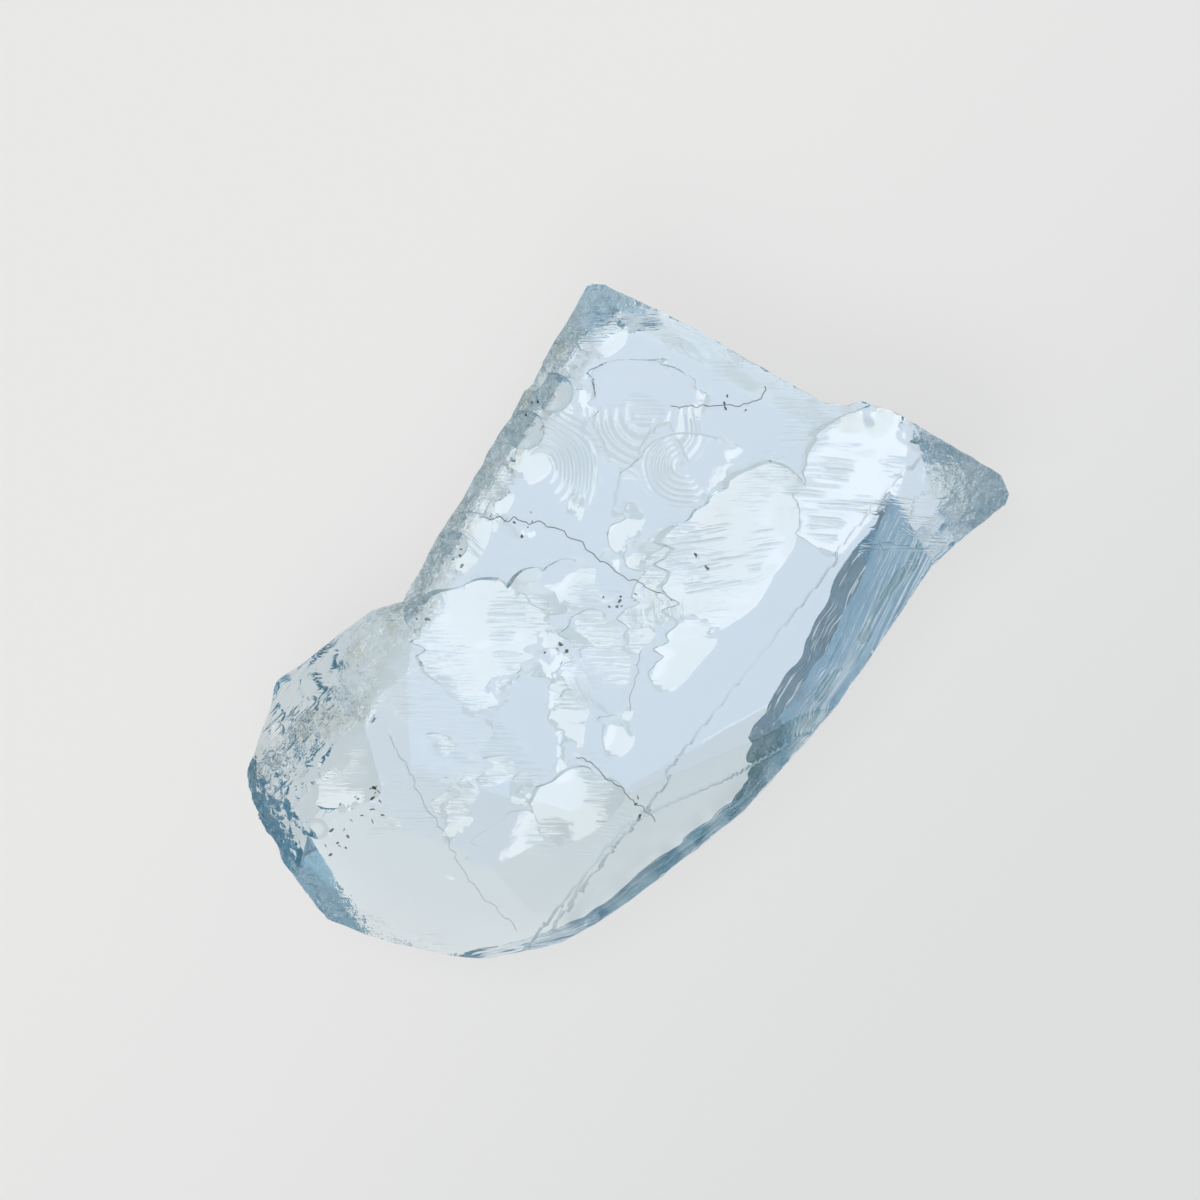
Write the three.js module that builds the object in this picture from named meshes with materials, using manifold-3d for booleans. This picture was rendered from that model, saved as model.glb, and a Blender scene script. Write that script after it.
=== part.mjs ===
// Aquamarine crystal: one broken piece of a six-sided beryl prism, lying on its smaller flat face.
// +X runs along the prism towards its flat end, -Y is the striated prism face, +Z is up.
// Every side leans inwards on its way down, so the front face on top is the largest.
import * as THREE from 'three';
import { mergeVertices } from 'three/addons/utils/BufferGeometryUtils.js';
import Module from 'manifold-3d';

// Driving dimensions, in millimetres and degrees
const THICKNESS = 4.8;
const BLOCK = 60;        // side of the blocks that trim the stone, larger than the stone
const OVAL_SIDES = 28;   // straight sides of the oval that a flake is struck from
const FLAKE_START = 0.85;  // a flake starts this part of its half length before its middle
const CHIP_DETAIL = 2;   // subdivisions of the round that leaves a chip

// The front face seen from above: straight stretches have only their ends, breaks have a few points
const FRONT_OUTLINE = [
  [8.2, 6.15], [8.65, 6.1], [9.0, 5.9], [9.2, 5.55], [9.45, 2.4], [9.5, 0.5], [9.6, -1.5],
  [9.85, -2.1], [10.2, -2.45], [10.45, -3.4], [10.6, -6.6], [10.55, -7.0], [10.2, -7.5], [9.8, -7.6],
  [9.1, -7.35], [8.1, -6.95], [7.2, -6.7], [4.4, -6.6], [2.2, -6.5], [0.4, -6.2], [-1.6, -5.85],
  [-3.2, -5.3], [-5.5, -4.45], [-6.6, -3.95], [-8.05, -3.15], [-8.9, -2.15], [-9.75, -0.7],
  [-10.3, 1.0], [-10.6, 2.7], [-10.25, 4.0], [-9.65, 5.1], [-9.45, 6.1], [-8.7, 6.8], [-7.4, 7.35],
  [-5.7, 7.6], [-4.5, 7.3], [-2.4, 6.55], [-1.6, 5.75], [0.6, 5.85], [2.9, 5.85], [4.9, 6.2],
  [5.9, 6.05],
];

// Flat breaks and crystal faces on the sides, each through a point of the front edge. The azimuth is
// where the face looks, the undercut is how far it leans in from upright on its way down.
const MAIN_FACES = [
  { name: 'striated prism face', at: [5.0, -7.0], azimuth: -84, undercut: 22 },
  { name: 'prism face, worn middle', at: [0.0, -6.95], azimuth: -92, undercut: 21 },
  { name: 'prism face, broken end', at: [-4.4, -5.5], azimuth: -110, undercut: 17 },
  { name: 'lower break', at: [-7.9, -3.25], azimuth: -134, undercut: 12 },
  { name: 'thin end', at: [-9.75, -0.7], azimuth: -162, undercut: 4 },
  { name: 'thin end, dark corner', at: [-9.5, 6.0], azimuth: 156, undercut: 21 },
];
const BODY_FACES = [
  { name: 'rough wall', at: [1.8, 5.9], azimuth: 91, undercut: 7 },
  { name: 'rough wall, far end', at: [6.6, 6.2], azimuth: 88, undercut: 10 },
  { name: 'dark corner', at: [8.9, 6.1], azimuth: 42, undercut: 19 },
  { name: 'flat end of the prism', at: [9.5, 1.5], azimuth: 2.5, undercut: 4 },
];
const LOBE_FACES = [
  { name: 'lobe corner', at: [-9.3, 6.3], azimuth: 133, undercut: 6 },
  { name: 'lobe side', at: [-6.4, 7.6], azimuth: 101, undercut: 8 },
  { name: 'lobe shoulder', at: [-3.4, 6.95], azimuth: 68, undercut: 8 },
];
const CORNER_FACES = [
  { name: 'flat end, step', at: [10.6, -6.6], azimuth: 3, undercut: 7 },
  { name: 'hammered corner', at: [10.3, -7.4], azimuth: -40, undercut: 11 },
  { name: 'hammered corner, side', at: [9.5, -7.5], azimuth: -105, undercut: 14 },
  { name: 'hammered corner, root', at: [7.2, -6.8], azimuth: 165, undercut: 8 },
  { name: 'step', at: [9.75, -1.8], azimuth: 120, undercut: 4 },
];

// Flat breaks that slope down from the front face, and up from the resting face: a point on the
// break's edge, where it looks, and how steep it is
const FRONT_SLOPES = [
  { name: 'thin end', at: [-6.9, 1.0], azimuth: -166, fall: 15 },
  { name: 'lobe', at: [-5.0, 5.1], azimuth: 103, fall: 30 },
  { name: 'lobe corner', at: [-7.6, 4.9], azimuth: 138, fall: 27 },
  { name: 'bright lower facet', at: [-3.6, -2.2], azimuth: -125, fall: 8 },
];
const BACK_SLOPES = [
  { name: 'thin end', at: [-5.0, 0.6], azimuth: -165, rise: 17 },
  { name: 'lobe', at: [-5.2, 3.2], azimuth: 125, rise: 17 },
  { name: 'prism face, broken end', at: [-1.6, -3.3], azimuth: -118, rise: 16 },
];
const BASE_BEVEL = [
  { name: 'striated prism face', at: [5.0, -4.85], azimuth: -84, rise: 43 },
  { name: 'prism face, worn middle', at: [0.0, -4.93], azimuth: -92, rise: 43 },
];

// Shallow flakes struck off the front face: the middle, the way that the break falls, how steeply,
// half its length that way and half its width across
const FLAKES = [
  { name: 'rounded bright patch', at: [4.6, -1.5], heading: 84, fall: 6.5, halfLength: 1.8, halfWidth: 2.5 },
  { name: 'left patch', at: [-1.4, 3.1], heading: 80, fall: 6.5, halfLength: 1.8, halfWidth: 1.9 },
  { name: 'lower patch', at: [-4.0, -1.9], heading: 88, fall: 7, halfLength: 1.6, halfWidth: 1.5 },
  { name: 'fan', at: [8.0, -3.4], heading: 88, fall: 5, halfLength: 1.5, halfWidth: 2.0 },
  { name: 'small upper patch', at: [5.8, 4.8], heading: 85, fall: 7, halfLength: 0.8, halfWidth: 0.6 },
  { name: 'middle', at: [2.1, -0.1], heading: 95, fall: 6, halfLength: 0.6, halfWidth: 0.9 },
  { name: 'middle, lower', at: [1.4, -1.9], heading: 80, fall: 6, halfLength: 0.8, halfWidth: 1.0 },
  { name: 'nested arcs', at: [6.6, 2.6], heading: 32, fall: 2, halfLength: 1.9, halfWidth: 1.5 },
  { name: 'round arcs', at: [3.6, 4.4], heading: 105, fall: 2, halfLength: 1.4, halfWidth: 1.9 },
  { name: 'rocky shoulder', at: [-2.9, 5.6], heading: 105, fall: 14, halfLength: 1.3, halfWidth: 1.2 },
  { name: 'streaked lobe', at: [-4.9, 6.0], heading: 112, fall: 17, halfLength: 1.5, halfWidth: 1.3 },
  { name: 'streaked lobe, end', at: [-7.0, 6.3], heading: 130, fall: 16, halfLength: 1.4, halfWidth: 1.2 },
  { name: 'lobe corner', at: [-6.4, 4.7], heading: 118, fall: 11, halfLength: 1.0, halfWidth: 1.6 },
  { name: 'thin end', at: [-8.4, 2.6], heading: 170, fall: 8, halfLength: 1.4, halfWidth: 1.5 },
];

// Round chips out of the rim: centre and radius of each
const RIM_CHIPS = [
  { at: [10.9, -1.3, 5.6], radius: 1.5 },
  { at: [9.9, 1.2, 6.0], radius: 1.4 },
  { at: [11.1, -8.0, 5.7], radius: 1.4 },
  { at: [8.9, 6.9, 5.5], radius: 1.3 },
  { at: [2.4, 7.2, 4.9], radius: 1.7 },
  { at: [-0.6, 7.0, 3.4], radius: 1.6 },
  { at: [-1.9, -6.9, 3.9], radius: 1.4 },
  { at: [-5.6, -5.7, 4.2], radius: 1.5 },
];

const wasm = await Module();
wasm.setup();

function toSolid(geometry) {
  geometry.deleteAttribute('normal');
  geometry.deleteAttribute('uv');
  const merged = mergeVertices(geometry);
  return new wasm.Manifold(new wasm.Mesh({
    numProp: 3,
    vertProperties: new Float32Array(merged.attributes.position.array),
    triVerts: new Uint32Array(merged.index.array),
  }));
}

function toGeometry(solid) {
  const mesh = solid.getMesh();
  const geometry = new THREE.BufferGeometry();
  geometry.setAttribute('position', new THREE.BufferAttribute(mesh.vertProperties, mesh.numProp));
  geometry.setIndex(new THREE.BufferAttribute(mesh.triVerts, 1));
  return geometry;
}

// A block whose near face passes through the point and looks back along the given direction
function block([x, y, z], azimuth, elevation) {
  const box = new THREE.BoxGeometry(BLOCK, BLOCK, BLOCK);
  box.translate(BLOCK / 2, 0, 0);
  box.rotateY(-THREE.MathUtils.degToRad(elevation));
  box.rotateZ(THREE.MathUtils.degToRad(azimuth));
  box.translate(x, y, z);
  return toSolid(box);
}

function ball([x, y, z], radius) {
  const round = new THREE.IcosahedronGeometry(radius, CHIP_DETAIL);
  round.translate(x, y, z);
  return toSolid(round);
}

// What a flake took away: an upright oval, down to a slope that starts inside its uphill end
function flake({ at: [x, y], heading, fall, halfLength, halfWidth }) {
  const turn = THREE.MathUtils.degToRad(heading);
  const oval = new THREE.CylinderGeometry(1, 1, 2 * THICKNESS, OVAL_SIDES);
  oval.rotateX(Math.PI / 2);
  oval.scale(halfLength, halfWidth, 1);
  oval.rotateZ(turn);
  oval.translate(x, y, THICKNESS);
  const back = FLAKE_START * halfLength;
  const start = [x - back * Math.cos(turn), y - back * Math.sin(turn), THICKNESS];
  return toSolid(oval).intersect(block(start, heading, 90 - fall));
}

function blank() {
  const outline = new THREE.Shape(FRONT_OUTLINE.map(([x, y]) => new THREE.Vector2(x, y)));
  return toSolid(new THREE.ExtrudeGeometry(outline, { depth: THICKNESS, bevelEnabled: false }));
}

function trimmed(solid, faces) {
  return faces.reduce(
    (rest, { at, azimuth, undercut }) => rest.subtract(block([...at, THICKNESS], azimuth, -undercut)),
    solid,
  );
}

function slopedUp(solid, slopes) {
  return slopes.reduce(
    (rest, { at, azimuth, rise }) => rest.subtract(block([...at, 0], azimuth, rise - 90)),
    solid,
  );
}

// The lobe stands out past the rough wall, and the hammered corner past the striated prism face
function lumps() {
  const main = slopedUp(trimmed(blank(), MAIN_FACES), BASE_BEVEL);
  const body = trimmed(main, BODY_FACES);
  const lobe = trimmed(main, LOBE_FACES);
  const corner = trimmed(blank(), CORNER_FACES);
  return body.add(lobe).add(corner);
}

function crystal() {
  let stone = slopedUp(lumps(), BACK_SLOPES);
  for (const { at, azimuth, fall } of FRONT_SLOPES) {
    stone = stone.subtract(block([...at, THICKNESS], azimuth, 90 - fall));
  }
  for (const broken of FLAKES) {
    stone = stone.subtract(flake(broken));
  }
  for (const { at, radius } of RIM_CHIPS) {
    stone = stone.subtract(ball(at, radius));
  }
  return toGeometry(stone);
}

// The origin is the middle of the stone's box on the surface that it lies on
function centred(geometry) {
  geometry.computeBoundingBox();
  const { min, max } = geometry.boundingBox;
  geometry.translate(-(min.x + max.x) / 2, -(min.y + max.y) / 2, -min.z);
  geometry.computeVertexNormals();
  return geometry;
}

const aquamarine = new THREE.MeshStandardMaterial({ color: 0xc8d8e8, roughness: 0.05, metalness: 0 });
const stone = new THREE.Mesh(centred(crystal()), aquamarine);
stone.name = 'crystal';

const group = new THREE.Group();
group.add(stone);

export default group;
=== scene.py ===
"""Aquamarine crystal: one broken piece of a beryl prism, lying on its smaller flat face."""
from math import cos, pi, radians, sin, tan

import bmesh
import bpy
import numpy as np
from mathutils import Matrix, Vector


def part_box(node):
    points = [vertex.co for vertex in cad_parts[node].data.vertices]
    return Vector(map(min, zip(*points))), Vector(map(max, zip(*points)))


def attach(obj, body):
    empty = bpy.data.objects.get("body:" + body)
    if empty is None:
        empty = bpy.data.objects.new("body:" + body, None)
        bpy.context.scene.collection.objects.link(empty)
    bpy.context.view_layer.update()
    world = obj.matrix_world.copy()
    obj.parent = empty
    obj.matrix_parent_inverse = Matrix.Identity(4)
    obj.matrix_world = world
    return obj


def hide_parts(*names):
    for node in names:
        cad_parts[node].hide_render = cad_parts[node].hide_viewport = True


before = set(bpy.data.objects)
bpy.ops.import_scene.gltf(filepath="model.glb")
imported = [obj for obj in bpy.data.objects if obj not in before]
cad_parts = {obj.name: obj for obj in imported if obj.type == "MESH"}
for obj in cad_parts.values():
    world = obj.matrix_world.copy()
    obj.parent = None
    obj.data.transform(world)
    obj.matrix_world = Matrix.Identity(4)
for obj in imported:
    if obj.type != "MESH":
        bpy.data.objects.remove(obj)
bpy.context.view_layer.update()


# ---- Shape: the stone's own millimetres and degrees, in the frame of the CAD

MM = 0.001
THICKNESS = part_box("crystal")[1][2] / MM
BLANK_STEP = 0.3         # grid of the plain blank that shows where the chips go
GRID_STEP = 0.087
GRID_MARGIN = 2.37       # free cells round the stone, not a whole number, so no face lies in the grid

# The front face seen from above: straight stretches have only their ends, breaks have a few points
FRONT_OUTLINE = [
    (8.2, 6.15), (8.65, 6.1), (9.0, 5.9), (9.2, 5.55), (9.45, 2.4), (9.5, 0.5), (9.6, -1.5),
    (9.85, -2.1), (10.2, -2.45), (10.45, -3.4), (10.6, -6.6), (10.55, -7.0), (10.2, -7.5), (9.8, -7.6),
    (9.1, -7.35), (8.1, -6.95), (7.2, -6.7), (4.4, -6.6), (2.2, -6.5), (0.4, -6.2), (-1.6, -5.85),
    (-3.2, -5.3), (-5.5, -4.45), (-6.6, -3.95), (-8.05, -3.15), (-8.9, -2.15), (-9.75, -0.7),
    (-10.3, 1.0), (-10.6, 2.7), (-10.25, 4.0), (-9.65, 5.1), (-9.45, 6.1), (-8.7, 6.8), (-7.4, 7.35),
    (-5.7, 7.6), (-4.5, 7.3), (-2.4, 6.55), (-1.6, 5.75), (0.6, 5.85), (2.9, 5.85), (4.9, 6.2),
    (5.9, 6.05),
]

# Side faces: a point at the height of the front face, where the face looks, and how far it leans in
# on its way down
MAIN_FACES = [
    ((5.0, -7.0), -84, 22), ((0.0, -6.95), -92, 21), ((-4.4, -5.5), -110, 17),
    ((-7.9, -3.25), -134, 12), ((-9.75, -0.7), -162, 4), ((-9.5, 6.0), 156, 21),
]
BODY_FACES = [((1.8, 5.9), 91, 7), ((6.6, 6.2), 88, 10), ((8.9, 6.1), 42, 19), ((9.5, 1.5), 2.5, 4)]
LOBE_FACES = [((-9.3, 6.3), 133, 6), ((-6.4, 7.6), 101, 8), ((-3.4, 6.95), 68, 8)]
CORNER_FACES = [
    ((10.6, -6.6), 3, 7), ((10.3, -7.4), -40, 11), ((9.5, -7.5), -105, 14), ((7.2, -6.8), 165, 8),
    ((9.75, -1.8), 120, 4),
]
# Breaks that slope down from the front face, and up from the resting face: where they start, where
# they look and how steep they are
FRONT_SLOPES = [
    ((-6.9, 1.0), -166, 15), ((-5.0, 5.1), 103, 30), ((-7.6, 4.9), 138, 27), ((-3.6, -2.2), -125, 8),
]
BACK_SLOPES = [((-5.0, 0.6), -165, 17), ((-5.2, 3.2), 125, 17), ((-1.6, -3.3), -118, 16)]
# The bevel where the striated side meets the resting face, likewise
BASE_BEVEL = [((5.0, -4.85), -84, 43), ((0.0, -4.93), -92, 43)]

# Shallow flakes struck off the front face: the middle, the way that the break falls, how steeply,
# half its length that way and half its width across
FLAKES = [
    ((4.6, -1.5), 84, 6.5, 1.8, 2.5), ((-1.4, 3.1), 80, 6.5, 1.8, 1.9), ((-4.0, -1.9), 88, 7, 1.6, 1.5),
    ((-5.4, -3.0), 80, 7, 0.8, 0.6), ((8.0, -3.4), 88, 5, 1.5, 2.0), ((5.8, 4.8), 85, 7, 0.8, 0.6),
    ((0.7, 5.0), 75, 7, 0.6, 0.7), ((2.1, -0.1), 95, 6, 0.6, 0.9), ((1.4, -1.9), 80, 6, 0.8, 1.0),
    ((6.6, 2.6), 32, 2, 1.9, 1.5), ((3.6, 4.4), 105, 2, 1.4, 1.9), ((5.4, 0.9), 60, 3, 0.8, 1.8),
    ((-0.6, -0.3), 110, 3, 1.1, 0.8), ((-6.2, -1.0), 60, 3, 1.3, 1.2), ((-3.0, 0.8), 20, 3, 1.5, 1.2),
    ((-2.9, 5.6), 105, 14, 1.3, 1.2), ((-4.9, 6.0), 112, 17, 1.5, 1.3), ((-7.0, 6.3), 130, 16, 1.4, 1.2),
    ((-6.4, 4.7), 118, 11, 1.0, 1.6), ((-8.4, 2.6), 170, 8, 1.4, 1.5),
]
# Feather-like small flakes between the large ones: the middle and half sizes of each field of them,
# and how many it has
FEATHER_FIELDS = [((1.2, 1.2), (2.6, 2.0), 22), ((-3.4, 0.2), (2.6, 2.4), 18), ((4.6, 4.8), (3.2, 0.8), 14)]
FEATHER_HEADING = (85, 22)      # mean and spread of the way that they fall
FEATHER_FALL = (3, 9)
FEATHER_WIDTH = (0.2, 0.7)      # half the width
FEATHER_LENGTH = (0.4, 1.2)     # half the length, as a part of that
FLAKE_START = 0.85       # a flake starts this part of its half length before its middle
FLAKE_DISH = (0.12, 0.3)        # how much its floor is dished, along and across
FLAKE_WALL = 0.35        # how fast it narrows on its way down
FLAKE_MARGIN = 0.4       # it is worked out this far beyond its oval
FLAKES_END = 2.2         # no flake reaches further down than this
STREAKED_WAY = 167       # heading of the grooves of the lobe
BRUSHED_WAY = -58        # heading of the tongues and of faint brush-like grooves over the broken front
TONGUE_LENGTH = 0.3      # of the ragged tongues at a flake's two ends
TONGUE_STRETCH = (0.12, 1, 0.2)
TONGUES_IN_FLOOR = 0.15  # the part of them that its floor has, too

# Random waves: the height, spacing and seed of each
EDGE_WAVES = [  # how a flake strays from an oval: along x, y and z
    [(0.45, 1.7, 21), (0.135, 0.6, 24)], [(0.45, 1.7, 22)], [(0.009, 1.4, 23)],
]
TONGUE_WAVES = [(TONGUE_LENGTH, 0.22, 25)]
BEVEL_WAVES = [(0.16, 1.9, 9), (0.048, 0.6, 10)]
GRIT_WAVES = [(0.04, 0.9, 1), (0.02, 0.35, 2)]
RIM_WAVES = [(0.02, 0.5, 4)]
STRIATION_WAVES = [(0.022, 0.5, 5), (0.01, 0.2, 6)]
STRIATION_STRETCH = (0.03, 0, 1)    # they vary with the height, and hardly along the prism
STREAK_WAVES = [(0.12, 0.7, 7), (0.04, 0.3, 8)]
STREAK_STRETCH = (0.12, 1, 0.3)
RIM_WORN = 0.04          # how far the rim is worn back
GRIT_WORN = 0.05         # and the rough breaks
WORN_REACH = 0.7         # wear and chips are worked out this near the faces

# Small chips on the rough breaks: how many, their radii and their depths
WALL_CHIPS = (420, (0.2, 0.6), (0.015, 0.05))
LOBE_CHIPS = (170, (0.5, 1.3), (0.03, 0.07))
RUBBLE_CHIPS = (420, (0.12, 0.4), (0.03, 0.08))
CORNER_CHIPS = (300, (0.15, 0.6), (0.03, 0.09))
RIM_CHIPS = (240, (0.15, 0.45), (0.03, 0.08))
HAMMER_MARKS = (260, (0.2, 0.6), (0.02, 0.07))
CHIP_LEAN = 0.2          # how far a chip's own direction strays from the surface's
CHIPS_START = 0.12       # no chip is struck lower than this
LEVEL = 0.975            # ground is level where its outward direction rises more than this

# ---- Places: a pair of numbers says where a place begins and where it is full

RIM_EDGE = (-1.0, -0.2)         # how far outside the outline of the front
FRONT_EDGE = (-0.35, -0.1)      # likewise, where the rim is chipped
FRONT_EDGE_DEPTH = 0.6
WALL_EDGE = (5.2, 5.6)          # how far out the rough wall begins
WALL_LEAN = 0.12                # and how much that moves in on the way down
WALL_ENDS = [(8.4, 7.4), (-2.5, -1.5)]
LOBE_EDGE = (4.4, 5.2)          # how far out the lobe begins
LOBE_TURN = 0.15                # and how much that changes along the prism
LOBE_ROOT = -6                  # from here
LOBE_END = (-1.0, -2.4)
# The rough ridge between the clear front and the lobe's outer slope, seen from above
RUBBLE = [(-0.2, 5.5), (-1.6, 5.2), (-3.3, 5.8), (-5.1, 5.3), (-6.5, 6.0), (-8.3, 6.6), (-9.0, 5.2)]
RUBBLE_WIDTH = (0.8, 0.3)
RUBBLE_BASE = (1.0, 2.0)
TIP_EDGE = (-9.0, -10.0)
HAMMERED_CORNER = ((0.77, -0.64), (10.4, 11.2))     # which way it lies, and where it begins that way
DARK_CORNER = ((0.72, 0.69), (9.4, 10.0))
SIDE_EDGE = (-3.4, -4.4)        # how far out the striated side begins
SIDE_TURN = 0.12                # how much that changes along the prism
SIDE_TOP = 0.12                 # it starts this far below the front
GROOVED_EDGE = (-3.3, -3.9)     # where its finest grooves begin
CLEAR_WINDOW_EDGE = (-3.2, -1.6)
BROKEN_FRONT_BASE = (THICKNESS - 1.6, THICKNESS - 1.2)

# ---- Marks on the surface that are too fine for the mesh

SMOOTH_BEND = 7          # on the clean faces an edge that bends more than this is a ridge
CHIPPED_BEND = 20        # likewise among small chips

# Hackles, the fine parallel ridges of a break: centre, heading, half length, half width, spacing
HACKLES = [
    ((7.7, -3.9), -63, 2.6, 1.7, 0.16), ((8.3, -5.7), -63, 1.4, 0.9, 0.11),
    ((-0.7, 2.5), -58, 1.0, 1.5, 0.14), ((4.2, -1.4), -48, 2.2, 1.3, 0.16),
    ((1.9, -0.6), 40, 0.7, 1.0, 0.1), ((-0.8, -0.2), 60, 0.9, 0.7, 0.1),
    ((-4.1, -2.2), -62, 1.4, 1.3, 0.15), ((7.9, -5.6), -60, 1.6, 1.2, 0.14),
    ((6.1, 4.7), 60, 0.9, 0.9, 0.12), ((1.2, 4.5), 80, 0.8, 0.8, 0.11),
    ((-3.6, 5.6), 167, 1.6, 1.6, 0.16), ((-6.2, 6.4), 167, 3.2, 1.9, 0.17),
]
HACKLE_RISE = 0.2        # height of a hackle, as a part of its spacing
HACKLE_SIZE = (18, 1, 8)        # its length, width and depth, likewise
HACKLE_FADE = (1.0, 0.6)        # where a patch of them fades in, as a part of its half sizes
HACKLE_DEPTH = 2.5       # they fade out this far below the front
# Ribs round the place where a break began: centre, heading of the ribbed side, reach, spacing
RIBS = [
    ((6.67, 2.59), -150, 2.0, 0.27), ((3.6, 4.3), -15, 2.0, 0.24), ((5.9, 0.9), 150, 1.3, 0.2),
]
RIB_RISE = 0.045         # height of a rib, as a part of its spacing
RIB_SIDE = (-0.15, 0.4)         # where they fade in on the ribbed side, as a part of the reach
RIB_START = (0.1, 0.3)          # likewise, away from the centre
RIB_END = (1.0, 0.6)
RIB_STRETCH = (1, 1, 0.2)
RIB_BASE = (-0.3, -0.15)        # how far below the front they fade out, stretched
RIB_WAVES = [(1.4, 1.1, 41)]    # how they stray, as a part of a rib
# Random patches: spacing and seed, and the heights at which a patch fades in
HACKLE_PATCHES = (0.7, 31, -0.25, 0.2)
BRUSHED_PATCHES = (1.3, 51, -0.1, 0.45)
STAINED_PATCHES = (0.5, 61, 0.1, 0.5)
BRUSH_SIZE = (1.5, 0.15, 1.5)       # length, width and depth of a brush-like groove
GROOVE_SIZE = (3.0, 3.0, 0.2)       # likewise on the striated side
BRUSH_HEIGHT = 0.022
GROOVE_HEIGHT = 0.025
GRIT_HEIGHT = 0.16
ETCH_HEIGHT = 0.002
GRIME_AND_SHADE_COVER = 0.4        # how much of the rough breaks has grime and painted shade at the most

# ---- Finishes: patterns have their scale, for each metre or painted turn, and their detail

HACKLE_PATTERN = (1.6, 1.0)
BRUSH_PATTERN = (1.5, 2.0)
GRIT_PATTERN = (4200, 3.0)
ETCH_PATTERN = (2500, 2.0)
GRIME_AND_SHADE_PATTERN = (5200, 3.0)
GRIME_AND_SHADE_FADE = (0.42, 0.62)
REFRACTION = 1.577       # of beryl
POLISH = 0.003           # roughness of the clean faces
FROST = 0.07             # and what hackles add to it
BERYL_BLUE = (0.19, 0.6, 0.775)
BLUE_DENSITY = 71
CLEAR, BROWN_FILM = (1, 1, 1), (0.84, 0.8, 0.71)
# grey of the grime on the rough breaks, partly painted shade: it makes them a darker grey
GREY_GRIME_AND_SHADE = (0.42, 0.48, 0.48)
RUST, ASH, SOOT = (0.16, 0.11, 0.06), (0.66, 0.67, 0.67), (0.09, 0.09, 0.08)
DULL_ROUGHNESS = 0.8

# ---- Sealed in the stone: thread-like cracks and specks just under the front face, seen from above

RUSTY_CRACKS = [
    [(1.6, 5.0), (2.0, 4.2), (2.4, 3.3), (2.5, 2.3), (2.3, 1.1), (2.4, 0.0), (2.5, -1.0)],
    [(9.1, 0.1), (8.7, 0.0), (8.2, 0.4), (7.7, 1.3), (7.1, 2.1)],
    [(-2.7, -0.9), (-2.8, -2.1), (-3.0, -3.2), (-3.1, -3.8)],
]
PALE_CRACKS = [[(-5.1, 4.0), (-6.3, 1.8), (-7.4, -0.2), (-7.9, -2.1)], [(0.7, -0.9), (-0.9, -1.5)]]
CRACK_DEPTH = 0.08
CRACK_PARTS = 4          # a crack follows the surface at this many points of each straight stretch
RUSTY_THREAD, PALE_THREAD = 0.013, 0.009    # radius of a crack's thread
CRACK_WAVINESS = 0.5
THREAD_STEP = 0.07       # between the rings of a thread
THREAD_SIDES = 6
SHAKE_PATTERN = (3000, 3.0)
WIDTH_PATTERN = (1900, 1.0)
WIDTH_GAIN, WIDTH_LOSS = 2.4, 0.6           # what makes a thread's radius of its pattern
SPECKS = [
    (1.7, 0.3), (1.5, 0.5), (-0.6, 1.1), (3.6, -1.1), (8.0, 0.5), (-1.6, 5.0), (-6.9, 3.8), (-7.2, 3.4),
    (-7.9, 3.7), (-8.6, 3.6), (-6.9, 3.2), (2.1, 3.9), (-3.0, -3.4), (5.0, 5.2), (0.2, 5.0),
]
SPECK_DEPTH = 0.2
SPECKS_EACH = 5
SPECK_REACH = (0.4, 0.4, 0.04)      # how far from its place a speck may lie
SPECK_TURN = (-0.5, -0.5, 0), (0.5, 0.5, 6.28)      # least and most, in radians
SPECK_SHAPE = (0.3, 0.3, 0.15), (2.2, 1.3, 0.3)     # least and most, as parts of the radius
SPECK_RADIUS = 0.045
DEPTH_STEP = 0.02        # step of the search for the front surface
DEPTH_MARGIN = 0.01      # how far inside the stone that search ends

# ---- Stage, in metres and degrees

FLOOR_SIZE = 1.2
FLOOR_DROP = 0.00002     # the floor lies this far below the stone
PAPER = (0.25, 0.248, 0.246)
PAPER_ROUGHNESS = 0.9
PAPER_GLOSS = 0.1
PAPER_GLOW = (1.0, 0.985, 0.975)
PAPER_GLOW_DIM = (0.87, 0.872, 0.87)
PAPER_STRENGTH = 0.67
PAPER_DIMS = -100        # heading in which the paper gets dimmer
PAPER_FADE = (-0.011, 0.02)     # where that begins and ends
PANEL_SIZE = 0.21
PANEL_DISTANCE = 0.6
PANEL_WAY = (0, 89.9)
PANEL_RADIANCE = 1.6
PANEL_COLOUR = (0.86, 0.9, 1.28)
ROOM = (0.86, 1.0, 0.95)
ROOM_STRENGTH = 0.25
# Lamps of the room: the way to them, the angles from it at which they fade in, and their strength
HIGH_LAMP = ((85, 75.5), (9, 8), 4.0)
SIDE_LAMP = ((-166, 60), (26, 14), 2.0)
CAMERA_HEIGHT = 0.28     # above the front face
CAMERA_ROLL = -58
CAMERA_AIM = (1.38, 0.87)       # in the outline's millimetres
VIEW_WIDTH = 34.29 * MM
SENSOR = 36              # millimetres
NEAREST_VIEW = 0.01
BOUNCES = 32             # light passes through many faces of a clear stone


# ---- The stone as a field: how far a point is outside it

def direction(azimuth, elevation):
    """The way that a heading and a height above the level lead, both in degrees."""
    a, e = radians(azimuth), radians(elevation)
    return np.array([cos(a) * cos(e), sin(a) * cos(e), sin(e)])


def smooth_step(value, start, end):
    t = np.clip((value - start) / (end - start), 0, 1)
    return t * t * (3 - 2 * t)


def grain(p, size, seed):
    """Smooth random heights, from -1 to 1, on a lattice of the given spacing."""
    table = np.random.default_rng(seed).uniform(-1, 1, (32, 32, 32))
    q = p / size
    cell = np.floor(q).astype(int)
    t = q - cell
    t = t * t * (3 - 2 * t)
    total = np.zeros(len(p))
    for corner in np.ndindex(2, 2, 2):
        weight = np.prod(np.where(corner, t, 1 - t), axis=1)
        total += weight * table[tuple(((cell + corner) % len(table)).T)]
    return total


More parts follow.
